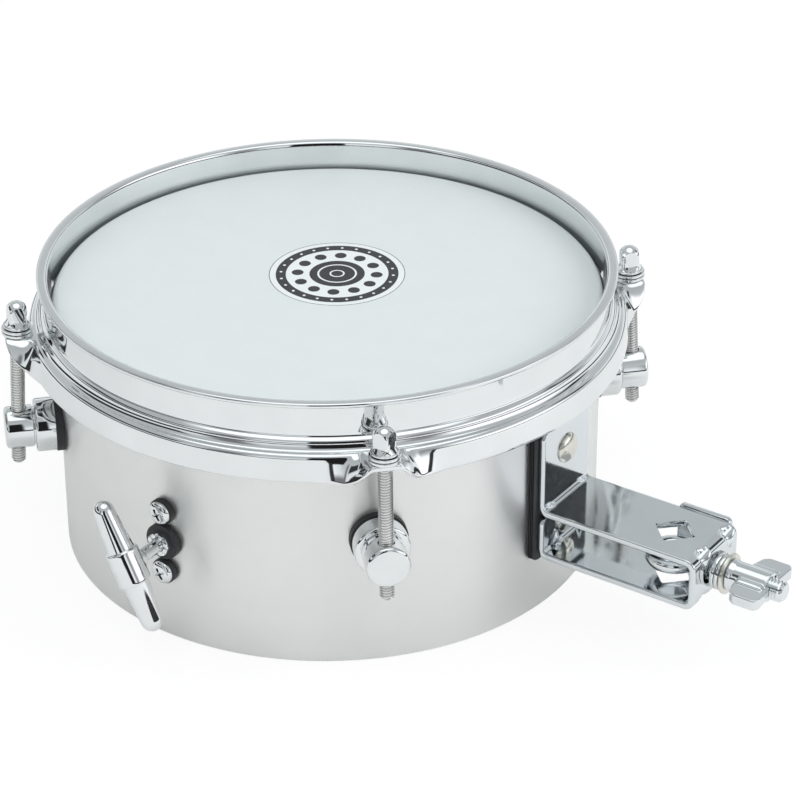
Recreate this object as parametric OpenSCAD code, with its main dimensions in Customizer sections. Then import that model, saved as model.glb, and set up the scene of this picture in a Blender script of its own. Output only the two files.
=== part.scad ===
// An 8 inch steel timbale with a clip-on mount and a fan of snare wires under its one head.
// Origin: the drum's axis where it meets the plane of the shell's bottom edge. +Z is up through the head,
// +X runs out along the mounting bracket and -Y runs out along the snare handle.

/* [Shell] */
// Outer radius of the steel shell
shell_r = 100; // [95:0.5:105]
// Thickness of the steel
shell_t = 1.2; // [1:0.1:1.4]
// Height from the bottom edge to the crest of the bearing edge
shell_h = 97.4; // [97:0.1:97.8]

/* [Head and counterhoop] */
// Thickness of the drumhead film
film_t = 0.25; // [0.15:0.05:0.4]
// Top of the counterhoop's flat rim above the shell's bottom edge
rim_top = 107.8; // [107.4:0.1:108.4]
// Outer radius of the flat rim
rim_r = 105.7; // [105.3:0.1:106]
// Outer radius of the skirt's lower edge
skirt_r = 110; // [109.8:0.1:110.6]
// Height of the skirt's lower edge
skirt_z = 80.1; // [79:0.1:82]

/* [Tension rods and lugs] */
// Number of tension rods round the drum
rod_count = 4; // [4:1:4]
// Diameter of a rod's thread
rod_d = 5.3; // [5.1:0.1:5.5]
// Lean of a rod towards the drum, in degrees
rod_lean = 3; // [2:0.5:3.5]
// Distance from the drum's axis to a rod where it passes the hoop's ear
ear_hole_r = 113.9; // [113.5:0.1:114.3]
// Top face of the ears
ear_z = 89.8; // [89.6:0.1:90]
// Height of a lug's axis
lug_z = 51; // [48:1:56]
// Diameter of a lug's base
lug_base_d = 19.8; // [19:0.2:21]
// Diameter of a lug's outer barrel
lug_barrel_d = 15.6; // [15:0.2:16.4]

/* [Mounting bracket and clamp] */
// Width of the bracket's steel strip
strip_w = 30.6; // [29:0.2:32]
// Thickness of the strip
strip_t = 2.4; // [2.3:0.1:2.6]
// Outer face of the bracket's end wall from the drum's axis
bracket_end = 165; // [164:0.5:166]
// Bottom and top faces of the bracket's two arms
arm_low = 24; // [23.5:0.5:24.5]
arm_high = 44; // [43.5:0.5:44.5]
// Distance from the drum's axis to the rod passage
passage_x = 148.4; // [148:0.1:149]
// Half the diagonal of the square rod holes in the arms
passage_half = 8.1; // [7.6:0.1:8.2]
// Radius of the eye bolt's bore
eye_bore_r = 5.2; // [5:0.1:5.3]
// Diameter of the clamp's thread
clamp_d = 8; // [7.8:0.1:8]

/* [Snare handle] */
// Height of the handle's axis
handle_z = 40.4; // [40:0.1:41]
// Distance from the drum's axis to the cross bar
bar_r = 121; // [120:0.5:122]
// Overall length of the cross bar
bar_len = 50; // [48:1:54]
// Tilt of the cross bar from the vertical, in degrees
bar_tilt = 26.5; // [20:0.5:30]
// Distance from the handle's axis to each of the two screws
screw_gap = 12.2; // [12:0.1:12.6]

/* [Snare wires] */
// Number of coiled wires in the fan
wire_count = 10; // [6:2:12]
// Outer diameter of a coiled wire
wire_d = 1.6; // [1.4:0.1:1.7]
// Width of the fan at its clip and at its free end
fan_near = 17; // [14:1:18]
fan_far = 46; // [36:1:48]

/* [Hidden] */
$fn = 96;
fine = 160;
sides = ["front", "right", "rear", "left"];
film_low = shell_h + 0.1;
film_top = film_low + film_t;
skin = 0.05;
rod_angle = [-45, 45, 135, 225];
tan_lean = tan(rod_lean);
rod_at_lug = ear_hole_r + (ear_z - lug_z) * tan_lean;
lug_back = shell_r + 2.5;
lug_neck = rod_at_lug - 5.9;
lug_front = rod_at_lug + 4.9;
lug_bore_r = rod_d / 2 + 0.35;
rod_tip = -(ear_z - 36.6) / cos(rod_lean);
key_w = 6.35;
key_top = 12.8;
flange_x = 101;
flange_top = 75;
plate_low_top = 40.3;
bend_r = 1.6;
bolt_z = [34, 63];
clamp_z = (arm_low + arm_high) / 2;
eye_major = 7.75;
eye_minor = 2.75;
clamp_tip = 192.4;
nut_x = 171.2;
nut_end = 186.8;
tab_start = 141;
t_bolt_r = 2.5;
pad_face = 86.3;
pivot_x = 89;
pivot_z = 78.4;
wire_z = pivot_z + 12.3;
fan_start = 72;
fan_end = -20;

// ---- places ----

// Turns its children to the rod at index i, counted anticlockwise from the front one.
module at_rod(i) {
    rotate([0, 0, rod_angle[i]]) children();
}

// Local frame of a rod: origin where it meets the ear's top face, local Z along the leaning rod.
module along_rod(i) {
    at_rod(i) translate([ear_hole_r, 0, ear_z]) rotate([0, -rod_lean, 0]) children();
}

// Local frame of the snare unit: local X points out of the shell through the handle.
module at_handle() {
    rotate([0, 0, -90]) children();
}

// A cylinder along +X from x0 to x1 at height z and sideways offset y.
module bar_x(r, x0, x1, z = 0, y = 0) {
    translate([x0, y, z]) rotate([0, 90, 0]) cylinder(r = r, h = x1 - x0);
}

// A hexagon nut along +X with a round bore.
module nut_x(flats, bore_r, x0, x1, z = 0, y = 0) {
    difference() {
        translate([x0, y, z]) rotate([0, 90, 0]) cylinder(r = flats / 2 / cos(30), h = x1 - x0, $fn = 6);
        bar_x(bore_r, x0 - 1, x1 + 1, z, y);
    }
}

// A flat ring along +X.
module ring_x(r, bore_r, x0, x1, z = 0, y = 0) {
    difference() {
        bar_x(r, x0, x1, z, y);
        bar_x(bore_r, x0 - 1, x1 + 1, z, y);
    }
}

// ---- shell and head ----

module shell_profile() {
    inner = shell_r - shell_t;
    polygon([
        [inner - 2.3, 0], [shell_r - 0.6, 0], [shell_r, 0.6],
        [shell_r, shell_h - 2], [shell_r - 0.3, shell_h - 0.9], [shell_r - 1, shell_h - 0.2],
        [shell_r - 1.8, shell_h], [shell_r - 2.8, shell_h - 0.4], [shell_r - 5.4, shell_h - 3],
        [shell_r - 4.55, shell_h - 3.85], [shell_r - 2.1, shell_h - 1.4], [inner, shell_h - 1.9],
        [inner, shell_t], [inner - 2.3, shell_t]
    ]);
}

module shell() {
    color("#d0d1ce")
    difference() {
        rotate_extrude($fn = fine) shell_profile();
        for (a = rod_angle) rotate([0, 0, a]) bar_x(2.8, shell_r - 8, shell_r + 8, lug_z);
        for (z = bolt_z) bar_x(3.2, shell_r - 8, shell_r + 8, z);
        at_handle() {
            bar_x(3.4, shell_r - 8, shell_r + 8, handle_z);
            for (s = [-1, 1]) bar_x(2.2, shell_r - 8, shell_r + 8, handle_z + s * screw_gap);
        }
    }
}

module drumhead_film() {
    color("#d7dcda")
    rotate_extrude($fn = fine)
    polygon([
        [0, film_low], [shell_r - 1.7, film_low], [shell_r - 0.6, film_low - 0.3],
        [shell_r + 0.15, film_low - 1.1], [shell_r + 0.15, 91.5], [shell_r + 0.15 + film_t, 91.5],
        [shell_r + 0.15 + film_t, film_top - 1.2], [shell_r - 0.4, film_top - 0.3],
        [shell_r - 1.6, film_top], [0, film_top]
    ]);
}

// ---- lugs ----

// Half section of a lug, turned about its own axis: x is the radius, y runs out from the shell.
module lug_profile() {
    base = lug_base_d / 2;
    barrel = lug_barrel_d / 2;
    neck = barrel - 0.7;
    depth = lug_front - lug_back;
    shoulder = lug_neck - lug_back;
    polygon([
        [0, 0], [base, 0], [base, shoulder - 1], [base - 0.8, shoulder - 0.3], [neck, shoulder - 0.3],
        [neck, shoulder + 0.3], [barrel - 0.4, shoulder + 0.3], [barrel, shoulder + 0.8],
        [barrel, depth - 1.4], [barrel - 0.4, depth - 0.5], [barrel - 1.3, depth], [0, depth]
    ]);
}

module lug(i) {
    color("#c6cbcd")
    difference() {
        at_rod(i) translate([lug_back, 0, lug_z]) rotate([0, 90, 0]) rotate_extrude() lug_profile();
        along_rod(i) translate([0, 0, rod_tip - 5]) cylinder(r = lug_bore_r, h = 60);
        at_rod(i) bar_x(2.5, lug_back - 1, lug_back + 6, lug_z);
    }
}

module lug_gasket(i) {
    color("#1d1e20")
    difference() {
        at_rod(i) ring_x(lug_base_d / 2 + 0.4, 2.8, shell_r - 3, lug_back, lug_z);
        cylinder(r = shell_r, h = 200, $fn = fine);
    }
}

module lug_screws() {
    color("#9a9da0")
    for (i = [0 : rod_count - 1]) at_rod(i) {
        bar_x(2.45, 97.3, lug_back + 5.5, lug_z);
        translate([93.8, 0, lug_z]) rotate([0, 90, 0]) cylinder(r = 4.6, h = 3.6, $fn = 6);
    }
}

module lug_screw_washers() {
    color("#a5a7a8")
    for (i = [0 : rod_count - 1]) at_rod(i) ring_x(6, 2.6, 97.4, 98.55, lug_z);
}

// ---- bracket and clamp ----

// A quarter bend of the strip about a centre, opening towards the quadrant given by sx and sy.
module bend(cx, cy, sx, sy) {
    outer = bend_r + strip_t;
    translate([cx, cy]) intersection() {
        difference() {
            circle(r = outer);
            circle(r = bend_r);
        }
        translate([sx > 0 ? 0 : -outer, sy > 0 ? 0 : -outer]) square(outer);
    }
}

// Side view of the folded strip: x is the distance from the drum's axis, y is the height.
module bracket_side() {
    gap = bend_r + strip_t;
    arm_start = flange_x + gap;
    arm_len = bracket_end - gap - arm_start;
    translate([flange_x, arm_high + bend_r]) square([strip_t, flange_top - arm_high - bend_r]);
    bend(arm_start, arm_high + bend_r, -1, -1);
    translate([arm_start, arm_high - strip_t]) square([arm_len, strip_t]);
    bend(bracket_end - gap, arm_high - gap, 1, 1);
    translate([bracket_end - strip_t, arm_low + gap]) square([strip_t, arm_high - arm_low - 2 * gap]);
    bend(bracket_end - gap, arm_low + gap, 1, -1);
    translate([arm_start, arm_low]) square([arm_len, strip_t]);
    bend(arm_start, arm_low + gap, -1, -1);
    translate([flange_x, arm_low + gap]) square([strip_t, plate_low_top - arm_low - gap]);
}

module bracket() {
    color("#b9bfc3")
    difference() {
        union() {
            translate([0, strip_w / 2, 0]) rotate([90, 0, 0]) linear_extrude(strip_w) bracket_side();
            translate([tab_start, strip_w / 2 - 0.4, arm_low + 1.5])
                cube([bracket_end - tab_start - 3, strip_t, arm_high - arm_low - 0.5]);
        }
        for (z = bolt_z) bar_x(3.2, flange_x - 1, flange_x + strip_t + 1, z);
        bar_x(clamp_d / 2 + 0.3, bracket_end - strip_t - 1, bracket_end + 1, clamp_z);
        for (z = [arm_low, arm_high - strip_t]) translate([passage_x, 0, z - 1]) rotate([0, 0, 45])
            translate([-passage_half * sqrt(0.5), -passage_half * sqrt(0.5), 0])
            cube([passage_half * sqrt(2), passage_half * sqrt(2), strip_t + 2]);
    }
}

module bracket_gasket() {
    low = 22.5;
    half = strip_w / 2 + 2.5;
    color("#17181a")
    difference() {
        translate([shell_r - 3, -half, low]) cube([flange_x - shell_r + 3, 2 * half, flange_top + 1 - low]);
        cylinder(r = shell_r, h = 200, $fn = fine);
        for (z = bolt_z) bar_x(3.2, shell_r - 4, flange_x + 1, z);
    }
}

// A low domed screw head on the +X side of its seat.
module dome_head(r, h, x0, z = 0) {
    ball_r = (r * r + h * h) / (2 * h);
    translate([x0, 0, z]) rotate([0, 90, 0]) rotate_extrude() intersection() {
        translate([0, h - ball_r]) circle(r = ball_r);
        square([r, h]);
    }
}

module bracket_bolts() {
    seat = flange_x + strip_t;
    color("#c9c8bd")
    for (z = bolt_z) {
        dome_head(5.6, 2.6, seat + skin / 2, z);
        bar_x(3, 91.6, seat + 0.5, z);
    }
}

module bracket_bolt_washers() {
    color("#a5a7a8")
    for (z = bolt_z) ring_x(7, 3.15, 97.2, 98.45, z);
}

module bracket_bolt_nuts() {
    color("#9a9da0")
    for (z = bolt_z) nut_x(10, 3.05, 92.2, 97.15, z);
}

// Two flat coils of square wire between the bracket's end wall and the washer.
module clamp_spring() {
    color("#b7bcbf")
    for (x = [0, 2.45]) ring_x(6.8, 4.5, bracket_end + x + skin, bracket_end + x + 2.2, clamp_z);
}

module clamp_washer() {
    color("#d2cfbf")
    ring_x(7.5, 4.3, nut_x - 1.35, nut_x - skin, clamp_z);
}

module eye_bolt() {
    color("#c3c7c9")
    translate([0, 0, clamp_z]) difference() {
        union() {
            translate([passage_x, 0, 0]) rotate_extrude() translate([eye_major, 0]) circle(r = eye_minor);
            bar_x(clamp_d / 2, passage_x + eye_major, clamp_tip - 0.8);
            translate([clamp_tip - 0.8, 0, 0]) rotate([0, 90, 0]) cylinder(r1 = clamp_d / 2, r2 = 3.3, h = 0.8);
        }
        translate([passage_x, 0, -5]) cylinder(r = eye_bore_r, h = 10);
    }
}

// One wing, drawn flat: x along the bolt, y away from it.
module wing_outline() {
    polygon([[5, 3], [16.5, 3], [17.3, 11.9], [16, 14], [8, 14], [6, 12.4], [5, 8]]);
}

module wing_nut() {
    wing_t = 4;
    color("#bcc4cb")
    difference() {
        translate([nut_x, 0, clamp_z]) {
            bar_x(5.6, 0, nut_end - nut_x);
            for (s = [0, 180]) rotate([s, 0, 0])
                translate([0, 0, -wing_t / 2]) linear_extrude(wing_t) wing_outline();
        }
        bar_x(clamp_d / 2 + 0.06, nut_x - 1, nut_end + 4, clamp_z);
    }
}

// ---- counterhoop, flesh hoop and rods ----

// Section of the counterhoop: flat rim, wall, stepped shoulder over the flesh hoop, and skirt.
module hoop_profile() {
    wall = rim_r - 2.2;
    inner = wall - 1.9;
    polygon([
        [skirt_r, skirt_z], [109.5, 86], [109.3, 88], [108.7, 89.1], [107.3, 90],
        [107, 91.3], [106.3, 92], [104.6, 93], [wall + 0.2, 94], [wall, 95],
        [wall, rim_top - 2.4], [wall + 0.6, rim_top - 1.8], [rim_r - 0.4, rim_top - 1.8],
        [rim_r, rim_top - 1.4], [rim_r, rim_top - 0.5], [rim_r - 0.5, rim_top], [rim_r - 2.9, rim_top],
        [rim_r - 3.7, rim_top - 0.4], [inner, rim_top - 1.6],
        [inner, 93.9], [102.2, 92.2], [105, 91.1], [105.4, 89.2], [107.4, 87.3], [skirt_r - 1.7, skirt_z]
    ]);
}

// The flat ear that a rod pulls on.
module ear(i) {
    thick = 1.9;
    tip = 5.2;
    at_rod(i) translate([0, 0, ear_z - thick]) linear_extrude(thick) {
        translate([ear_hole_r, 0]) circle(r = tip);
        polygon([[107, -15], [108.8, -14], [ear_hole_r + 1.2, -tip + 0.2],
            [ear_hole_r + 1.2, tip - 0.2], [108.8, 14], [107, 15]]);
    }
}

module counterhoop() {
    arch_r = 27.5;
    color("#c2c8cb")
    difference() {
        union() {
            rotate_extrude($fn = fine) hoop_profile();
            for (i = [0 : rod_count - 1]) ear(i);
        }
        for (i = [0 : rod_count - 1]) at_rod(i) {
            translate([ear_hole_r, 0, 80]) cylinder(r = 3.3, h = 15);
            bar_x(arch_r, 106, 125, ear_z - 2.1 - arch_r);
        }
    }
}

module flesh_hoop() {
    color("#aeb3b5")
    rotate_extrude($fn = fine)
    polygon([[100.9, 83.2], [104.6, 83.2], [104.8, 83.6], [104.8, 90.7], [102.4, 91.8], [100.9, 91.8]]);
}

module tension_rod(i) {
    flange = 2.95;
    color("#a8acae")
    along_rod(i) {
        translate([0, 0, rod_tip + 0.8]) cylinder(r = rod_d / 2, h = flange - rod_tip);
        translate([0, 0, rod_tip]) cylinder(r1 = 1.8, r2 = rod_d / 2, h = 0.8);
        translate([0, 0, flange]) cylinder(r = 4.8, h = 0.9);
        translate([0, 0, flange + 0.9]) cylinder(r1 = 4.4, r2 = 3.4, h = 0.9);
        intersection() {
            translate([-key_w / 2, -key_w / 2, flange + 0.9]) cube([key_w, key_w, key_top - flange - 0.9]);
            translate([0, 0, key_top - 4.2]) sphere(r = 4.2);
        }
        intersection() {
            translate([-key_w / 2, -key_w / 2, flange + 0.9]) cube([key_w, key_w, key_top - flange - 5]);
            cylinder(r = 4.2, h = key_top - 4.2);
        }
    }
}

module rod_washers(i) {
    color("#9fa3a5")
    along_rod(i) for (z = [0.42, 1.7]) translate([0, 0, z]) difference() {
        cylinder(r = 5.1, h = 1.2);
        translate([0, 0, -1]) cylinder(r = rod_d / 2 + 0.15, h = 4);
    }
}

// ---- snare unit, in the handle's local frame ----

module snare_base() {
    back = 98.3;
    color("#a5a7a8")
    at_handle() difference() {
        union() {
            translate([back - 1.5, -9, 21]) cube([1.5, 18, pivot_z - 13]);
            for (y = [-9, 7.5]) translate([84.5, y, pivot_z - 7]) cube([back - 84.5, 1.5, 14]);
        }
        bar_x(3.4, 90, 110, handle_z);
        for (s = [-1, 1]) bar_x(2.2, 90, 110, handle_z + s * screw_gap);
        translate([pivot_x, -12, pivot_z]) rotate([-90, 0, 0]) cylinder(r = 2.03, h = 24);
    }
}

module snare_screws() {
    color("#d5d9d8")
    at_handle() for (s = [-1, 1]) difference() {
        union() {
            dome_head(3.9, 2.2, 103, handle_z + s * screw_gap);
            bar_x(2, 92.6, 103.4, handle_z + s * screw_gap);
        }
        for (a = [45, 135]) translate([104.1, 0, handle_z + s * screw_gap]) rotate([a, 0, 0])
            translate([0, -2, -0.45]) cube([4, 4, 0.9]);
    }
}

module snare_screw_washers() {
    color("#1d1e20")
    difference() {
        at_handle() for (s = [-1, 1]) ring_x(4.7, 2.15, shell_r - 2, 103 - skin, handle_z + s * screw_gap);
        cylinder(r = shell_r, h = 200, $fn = fine);
    }
}

module snare_screw_nuts() {
    color("#9a9da0")
    at_handle() for (s = [-1, 1]) nut_x(7, 2.05, 93.6, 96.75, handle_z + s * screw_gap);
}

// Threaded bush with a castellated collar, clamped through the shell by a nut.
module handle_bushing() {
    color("#c9cdce")
    at_handle() difference() {
        union() {
            bar_x(4.3, 103, 105.6, handle_z);
            bar_x(3.2, 92.4, 103.2, handle_z);
        }
        bar_x(t_bolt_r + 0.08, 90, 110, handle_z);
        for (a = [0 : 60 : 120]) translate([104.9, 0, handle_z]) rotate([a, 0, 0]) translate([0, -5, -0.5])
            cube([2, 10, 1]);
    }
}

module handle_rubber_washer() {
    color("#2a2b2d")
    difference() {
        at_handle() ring_x(6.8, 3.35, shell_r - 2, 103 - skin, handle_z);
        cylinder(r = shell_r, h = 200, $fn = fine);
    }
}

module handle_bushing_nut() {
    color("#9a9da0")
    at_handle() nut_x(10, 3.25, 93.2, 96.75, handle_z);
}

// Half section of the cross bar, turned about its own axis.
module bar_profile() {
    half = bar_len / 2;
    polygon([
        [0, -half], [2.5, -half + 0.8], [3.9, -half + 3.5], [4.7, -6.4], [5.4, -6.3], [5.7, -5.9],
        [5.7, 5.9], [5.4, 6.3], [4.7, 6.4], [3.9, half - 3.5], [2.5, half - 0.8], [0, half]
    ]);
}

module handle_bar() {
    color("#c9cdcf")
    at_handle() difference() {
        translate([bar_r, 0, handle_z]) rotate([bar_tilt, 0, 0]) rotate_extrude() bar_profile();
        bar_x(t_bolt_r, bar_r - 8, bar_r + 1, handle_z);
    }
}

module handle_screw() {
    color("#a8acae")
    at_handle() {
        bar_x(t_bolt_r - 0.02, 88.9, bar_r + 1, handle_z);
        translate([87.9, 0, handle_z]) rotate([0, 90, 0]) cylinder(r1 = 1.8, r2 = t_bolt_r - 0.02, h = 1);
    }
}

// Brass cap on the screw's tip that presses on the lever.
module handle_pad() {
    color("#b89a5a")
    at_handle() difference() {
        union() {
            bar_x(4.5, pad_face + 1, pad_face + 5, handle_z);
            intersection() {
                translate([pad_face + 12, 0, handle_z]) sphere(r = 12);
                bar_x(4.5, pad_face - 1, pad_face + 1.1, handle_z);
            }
        }
        bar_x(t_bolt_r + 0.06, pad_face + 1.55, pad_face + 8, handle_z);
    }
}

module lever_pin() {
    color("#8f9294")
    at_handle() translate([pivot_x, -10.6, pivot_z]) rotate([-90, 0, 0]) cylinder(r = 2, h = 21.2);
}

module lever_pin_clips() {
    color("#6f7274")
    at_handle() for (y = [-10, 9.2]) translate([pivot_x, y, pivot_z]) rotate([-90, 0, 0]) difference() {
        cylinder(r = 3.6, h = 0.8);
        translate([0, 0, -1]) cylinder(r = 2.02, h = 3);
    }
}

// Bell crank: the handle pushes its lower end and its upper end lifts the fan.
module snare_lever() {
    color("#a5a7a8")
    at_handle() difference() {
        union() {
            translate([84.7, -6.5, 32]) cube([1.5, 13, pivot_z - 21.6]);
            translate([64, -11, pivot_z + 8.9]) cube([22.2, 22, 1.5]);
            for (y = [-6.5, 5]) translate([86, y, pivot_z - 5]) cube([6, 1.5, 10]);
        }
        translate([pivot_x, -12, pivot_z]) rotate([-90, 0, 0]) cylinder(r = 2.06, h = 24);
        for (y = [-6, 6]) translate([76, y, pivot_z + 4]) cylinder(r = 1.6, h = 10);
    }
}

module snare_near_plate() {
    color("#b79a5e")
    at_handle() difference() {
        translate([64, -11, pivot_z + 10.45]) cube([16, 22, 1]);
        for (y = [-6, 6]) translate([76, y, pivot_z + 4]) cylinder(r = 1.6, h = 10);
    }
}

module snare_plate_screws() {
    color("#9a9da0")
    at_handle() for (y = [-6, 6]) translate([76, y, 0]) {
        translate([0, 0, pivot_z + 6.4]) cylinder(r = 1.5, h = 5.3);
        translate([0, 0, pivot_z + 11.5]) cylinder(r = 2.7, h = 1.3);
    }
}

module snare_wires() {
    run = fan_start - fan_end;
    color("#c4c7c8")
    at_handle() for (k = [0 : wire_count - 1]) {
        share = k / (wire_count - 1) - 0.5;
        spread = share * (fan_far - fan_near);
        translate([fan_start, share * fan_near, wire_z])
            rotate([0, -90, -atan2(spread, run)])
            cylinder(r = wire_d / 2, h = sqrt(run * run + spread * spread));
    }
}

module snare_far_plate() {
    color("#b79a5e")
    at_handle() translate([fan_end - 2, -fan_far / 2 - 2, wire_z - wire_d / 2 - 1.05])
        cube([8, fan_far + 4, 1]);
}

shell();
drumhead_film();
lug(0);  // lug_front
lug(1);  // lug_right
lug(2);  // lug_rear
lug(3);  // lug_left
lug_gasket(0);  // lug_gasket_front
lug_gasket(1);  // lug_gasket_right
lug_gasket(2);  // lug_gasket_rear
lug_gasket(3);  // lug_gasket_left
lug_screws();
lug_screw_washers();
bracket();
bracket_gasket();
bracket_bolts();
bracket_bolt_washers();
bracket_bolt_nuts();
clamp_spring();
clamp_washer();
eye_bolt();
wing_nut();
counterhoop();
flesh_hoop();
tension_rod(0);  // tension_rod_front
tension_rod(1);  // tension_rod_right
tension_rod(2);  // tension_rod_rear
tension_rod(3);  // tension_rod_left
rod_washers(0);  // rod_washers_front
rod_washers(1);  // rod_washers_right
rod_washers(2);  // rod_washers_rear
rod_washers(3);  // rod_washers_left
snare_base();
snare_screws();
snare_screw_washers();
snare_screw_nuts();
handle_bushing();
handle_rubber_washer();
handle_bushing_nut();
handle_bar();
handle_screw();
handle_pad();
lever_pin();
lever_pin_clips();
snare_lever();
snare_near_plate();
snare_far_plate();
snare_plate_screws();
snare_wires();
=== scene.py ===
"""An 8 inch steel timbale on a pale floor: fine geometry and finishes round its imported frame."""

import math

import bmesh
import bpy
from mathutils import Matrix, Vector


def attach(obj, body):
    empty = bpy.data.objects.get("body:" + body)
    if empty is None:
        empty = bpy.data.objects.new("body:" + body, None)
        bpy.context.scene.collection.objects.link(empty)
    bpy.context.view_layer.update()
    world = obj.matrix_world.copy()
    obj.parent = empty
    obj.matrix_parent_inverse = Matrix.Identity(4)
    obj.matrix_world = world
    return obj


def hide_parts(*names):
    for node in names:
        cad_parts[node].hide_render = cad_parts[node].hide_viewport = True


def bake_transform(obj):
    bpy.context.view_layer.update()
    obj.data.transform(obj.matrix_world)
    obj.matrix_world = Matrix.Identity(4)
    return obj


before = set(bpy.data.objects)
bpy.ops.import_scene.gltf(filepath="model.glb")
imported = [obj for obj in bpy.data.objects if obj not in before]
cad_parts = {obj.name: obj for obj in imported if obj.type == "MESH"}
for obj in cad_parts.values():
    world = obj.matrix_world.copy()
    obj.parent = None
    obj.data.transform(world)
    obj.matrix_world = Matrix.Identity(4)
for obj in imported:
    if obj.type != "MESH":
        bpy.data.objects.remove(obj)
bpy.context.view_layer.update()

# Lengths below are in millimetres; shape() turns them into metres.
METRES = Matrix.Scale(0.001, 4)
SIDES = ("front", "right", "rear", "left")
ROD_ANGLE = {"front": -45, "right": 45, "rear": 135, "left": 225}
KEY_TURN = {"front": 45, "right": 0, "rear": 20, "left": 10}
ROD_LEAN = 3
EAR_R = 113.9
EAR_Z = 89.8
ROD_TIP = -53.27
ROD_PITCH = 1.058
LUG_Z = 51
LUG_BACK = 102.5
LUG_FRONT = 120.83
LUG_NECK = 110.03
HANDLE_Z = 40.4
BAR_R = 121
BAR_TILT = 26.5
SCREW_GAP = 12.2
RUBBER_FACE = 102.3
CLAMP_Z = 34
PASSAGE_X = 148.4
STRIP_HALF = 15.3
STRIP_T = 2.4
TAU = 2 * math.pi


# ---- places ----

def move(x=0.0, y=0.0, z=0.0):
    return Matrix.Translation((x, y, z))


def turn(degrees, axis):
    return Matrix.Rotation(math.radians(degrees), 4, axis)


def at_rod(side):
    return turn(ROD_ANGLE[side], "Z")


def along_rod(side):
    """A rod's own frame: origin on the ear's top face, Z along the leaning rod."""
    return at_rod(side) @ move(EAR_R, 0, EAR_Z) @ turn(-ROD_LEAN, "Y")


def out_x(x=0.0, y=0.0, z=0.0):
    """A frame at a point, with its Z along +X."""
    return move(x, y, z) @ turn(90, "Y")


AT_HANDLE = turn(-90, "Z")


# ---- meshes: a part is a list of points and a list of faces ----

def skin(loops, ring=False):
    """Faces over loops with the same number of points. A ring joins up; anything else has closed ends."""
    size = len(loops[0])
    points = [p for loop in loops for p in loop]
    faces = []
    count = len(loops)
    for i in range(count if ring else count - 1):
        a = i * size
        b = (i + 1) % count * size
        for k in range(size):
            m = (k + 1) % size
            faces.append((a + k, a + m, b + m, b + k))
    if not ring:
        faces.append(tuple(range(size))[::-1])
        faces.append(tuple(range((count - 1) * size, count * size)))
    return points, faces


def circle(radius, z, steps):
    angles = [TAU * k / steps for k in range(steps)]
    return [(radius * math.cos(a), radius * math.sin(a), z) for a in angles]


def lathe(profile, steps=96, ring=False):
    """A profile of (radius, height) points turned about local Z."""
    loops = [circle(max(r, 0.001), z, steps) for r, z in profile]
    return skin(loops, ring=ring)


def rounded(points, radius, steps=4, closed=True):
    """The line through the points with its corners rounded. radius is a number or one number for each."""
    count = len(points)
    result = []
    for i, point in enumerate(points):
        r = radius[i] if isinstance(radius, (list, tuple)) else radius
        if r == 0 or (not closed and i in (0, count - 1)):
            result.append(tuple(point))
            continue
        here = Vector(point)
        before = Vector(points[i - 1]) - here
        after = Vector(points[(i + 1) % count]) - here
        a = here + before.normalized() * min(r, 0.49 * before.length)
        b = here + after.normalized() * min(r, 0.49 * after.length)
        for k in range(steps + 1):
            t = k / steps
            result.append(tuple(a * (1 - t) ** 2 + here * (2 * t * (1 - t)) + b * t ** 2))
    return result


def inset(outline, distance):
    """An anticlockwise outline moved inwards."""
    result = []
    count = len(outline)
    for i, (x, y) in enumerate(outline):
        before = outline[i - 1]
        after = outline[(i + 1) % count]
        along = Vector((after[0] - before[0], after[1] - before[1])).normalized()
        result.append((x - along.y * distance, y + along.x * distance))
    return result


def slab(outline, low, high, edge=0.4):
    """An anticlockwise outline given thickness along Z, with rounded edges."""
    layers = [(edge, low), (0.3 * edge, low + 0.3 * edge), (0, low + edge)]
    layers += [(0, high - edge), (0.3 * edge, high - 0.3 * edge), (edge, high)]
    return skin([[(x, y, z) for x, y in inset(outline, d)] for d, z in layers])


def box_outline(x0, y0, x1, y1):
    return [(x0, y0), (x1, y0), (x1, y1), (x0, y1)]


def thread(core, crest, pitch, low, high, tip, columns=28):
    """A screw thread about local Z with a chamfer at its low end."""
    marks = ((0.1, core), (0.42, crest), (0.58, crest), (0.9, core))
    rows = 4 * (int((high - low) / pitch) + 4)
    points = []
    for k in range(rows):
        share, radius = marks[k % 4]
        for j in range(columns):
            z = low + (k // 4 - 2 + share + j / columns) * pitch
            z = min(max(z, low), high)
            r = min(radius, tip + (z - low) * 0.9)
            points.append((r * math.cos(TAU * j / columns), r * math.sin(TAU * j / columns), z))
    faces = []
    for k in range(rows - 5):
        for j in range(columns):
            a = k * columns + j
            b = a + 1 if j < columns - 1 else (k + 4) * columns
            faces.append((a, b, b + columns, a + columns))
    faces.append(tuple(range(columns))[::-1])
    return points, faces


def coil(radius, wire, pitch, length, steps=9, sides=5):
    """A helix of round wire about local Z."""
    count = int(length / pitch * steps)
    loops = []
    for i in range(count + 1):
        a = TAU * i / steps
        z = length * i / count
        loop = []
        for k in range(sides):
            b = TAU * k / sides
            r = radius + wire * math.cos(b)
            loop.append((r * math.cos(a), r * math.sin(a), z + wire * math.sin(b)))
        loops.append(loop)
    return skin(loops)


def placed(part, place):
    points, faces = part
    return [tuple(place @ Vector(p)) for p in points], faces


def smooth(mesh, sharp):
    for face in mesh.polygons:
        face.use_smooth = True
    mesh.set_sharp_from_angle(angle=math.radians(sharp))


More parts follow.
